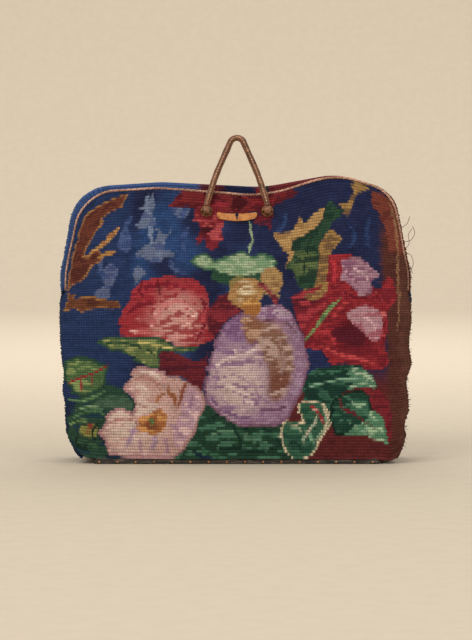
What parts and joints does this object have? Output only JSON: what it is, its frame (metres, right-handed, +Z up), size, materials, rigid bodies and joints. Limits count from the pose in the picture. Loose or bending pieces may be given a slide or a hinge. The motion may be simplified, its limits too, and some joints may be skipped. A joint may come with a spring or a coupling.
{
  "type": "carpet bag",
  "caption": "Soft travelling bag in floral woven carpet with a hinged clam-opening mouth, a lock plate and a rolled carrying handle.",
  "frame": {"origin": "middle of the base's underside", "axes": "+X to the bag's right seen from the front, +Y to its back, +Z up"},
  "size_m": [0.502, 0.1279, 0.4695],
  "materials": {
    "carpet": "ribbed woven wool in many colours",
    "piping_cord": "twisted cotton cord",
    "base_leather": "worn black oilcloth over board",
    "frame_iron": "black japanned iron",
    "bolt_steel": "filed steel",
    "brass": "dull warm brass",
    "handle_leather": "stitched brown leather"
  },
  "bodies": {
    "bag": {"base_board": "base_leather", "bottom_panel": "carpet", "front_panel_lower": "carpet", "back_panel": "carpet", "gusset_left": "carpet", "gusset_right": "carpet", "back_frame": "frame_iron", "hinge_pin_left": "frame_iron", "hinge_pin_right": "frame_iron", "lock_staple": "frame_iron"},
    "mouth_front": {"front_panel_upper": "carpet", "front_frame": "frame_iron", "front_piping": "piping_cord", "lock_plate": "brass", "lock_plate_pins": "brass", "lock_case": "frame_iron", "handle_mount_left": "brass", "handle_mount_right": "brass", "mount_backplate_left": "frame_iron", "mount_backplate_right": "frame_iron"},
    "handle": {"handle": "handle_leather"},
    "bolt": {"lock_bolt": "bolt_steel"}
  },
  "joints": [
    {"name": "mouth_open", "type": "hinge", "parent": "bag", "child": "mouth_front", "pos_m": [0, 0, 0.24], "axis": [1, 0, 0], "range_deg": [0, 50]},
    {"name": "handle_swing", "type": "hinge", "parent": "mouth_front", "child": "handle", "pos_m": [0, -0.02992, 0.36132], "axis": [1, 0, 0], "range_deg": [0, 175]},
    {"name": "bolt_throw", "type": "slide", "parent": "mouth_front", "child": "bolt", "axis": [1, 0, 0], "range_m": [0, 0.007]}
  ]
}
